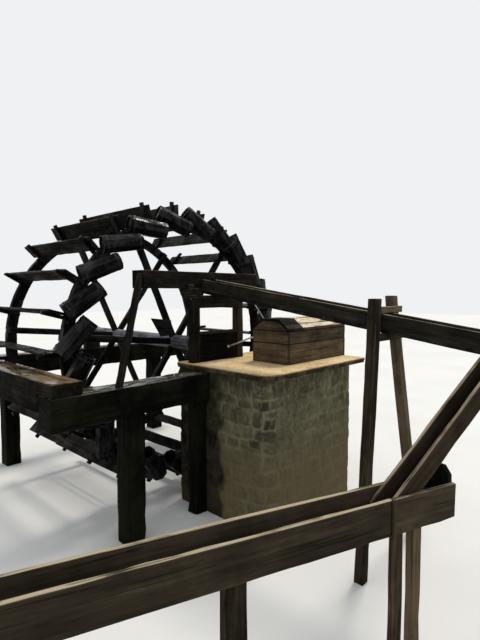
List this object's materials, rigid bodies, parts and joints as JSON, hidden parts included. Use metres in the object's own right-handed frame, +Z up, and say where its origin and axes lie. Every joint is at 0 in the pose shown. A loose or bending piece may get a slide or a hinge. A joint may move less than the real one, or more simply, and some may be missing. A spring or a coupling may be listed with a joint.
{
  "type": "river bucket water wheel",
  "caption": "River bucket water wheel: a current-driven paddle wheel with staved buckets lifts water into a trough, down a flume and chute to a ground trough.",
  "frame": {"origin": "on the level river bed under the stone pier, below the axle's centreline, in the near face region of the stand", "axes": "+X in the wheel's plane, the way its top moves; +Y along the axle from the bank to the river; +Z up"},
  "size_m": [6.9971, 8.01, 4.4551],
  "materials": {
    "wet_wood": "wet, near black, rough",
    "axle_wood": "weathered log, pale on top",
    "dark_beam_wood": "dark, wet, squared",
    "beam_wood": "weathered brown",
    "stand_wood": "dark brown, damp",
    "trough_wood": "wet, dark",
    "grey_wood": "weathered grey brown",
    "roof_wood": "sunlit boards",
    "box_wood": "weathered boards",
    "rubble_stone": null,
    "slab_stone": null,
    "iron": "dark, worn",
    "rod_metal": "bright galvanised"
  },
  "bodies": {
    "frame": {"pier_masonry": "rubble_stone", "pier_slab": "slab_stone", "near_beam": "dark_beam_wood", "cross_beam": "beam_wood", "far_beam": "dark_beam_wood", "beam_posts": "dark_beam_wood", "bearings": "stand_wood", "stand_posts": "stand_wood", "stand_top_beam": "stand_wood", "stand_rail": "stand_wood", "stand_panel": "stand_wood", "trough_bearers": "stand_wood", "trough_floor": "trough_wood", "trough_boards": "trough_wood", "trough_upper_board": "trough_wood", "trough_strut": "trough_wood", "flume_floor": "trough_wood", "flume_boards": "grey_wood", "chute_floor": "trough_wood", "chute_boards": "grey_wood", "ground_floor": "trough_wood", "ground_boards": "grey_wood", "ground_end_board": "trough_wood", "ground_stakes": "grey_wood", "trestle_legs": "grey_wood", "trestle_ties": "grey_wood", "box_boards": "box_wood", "box_roof_end": "box_wood", "box_roof": "roof_wood", "box_rod": "rod_metal"},
    "wheel": {"axle_log": "axle_wood", "gudgeons": "iron", "near_rim_outer": "wet_wood", "near_rim_inner": "wet_wood", "far_rim_outer": "wet_wood", "far_rim_inner": "wet_wood", "near_spokes": "wet_wood", "far_spokes": "wet_wood", "hub_board": "wet_wood", "paddles": "wet_wood", "paddle_cleats": "wet_wood", "bucket_staves": "wet_wood", "bucket_bottoms": "wet_wood", "bucket_chocks": "wet_wood"}
  },
  "joints": [
    {"name": "wheel_turn", "type": "hinge", "parent": "frame", "child": "wheel", "pos_m": [0, 1.7, 2.26], "axis": [0, 1, 0], "continuous": true}
  ]
}
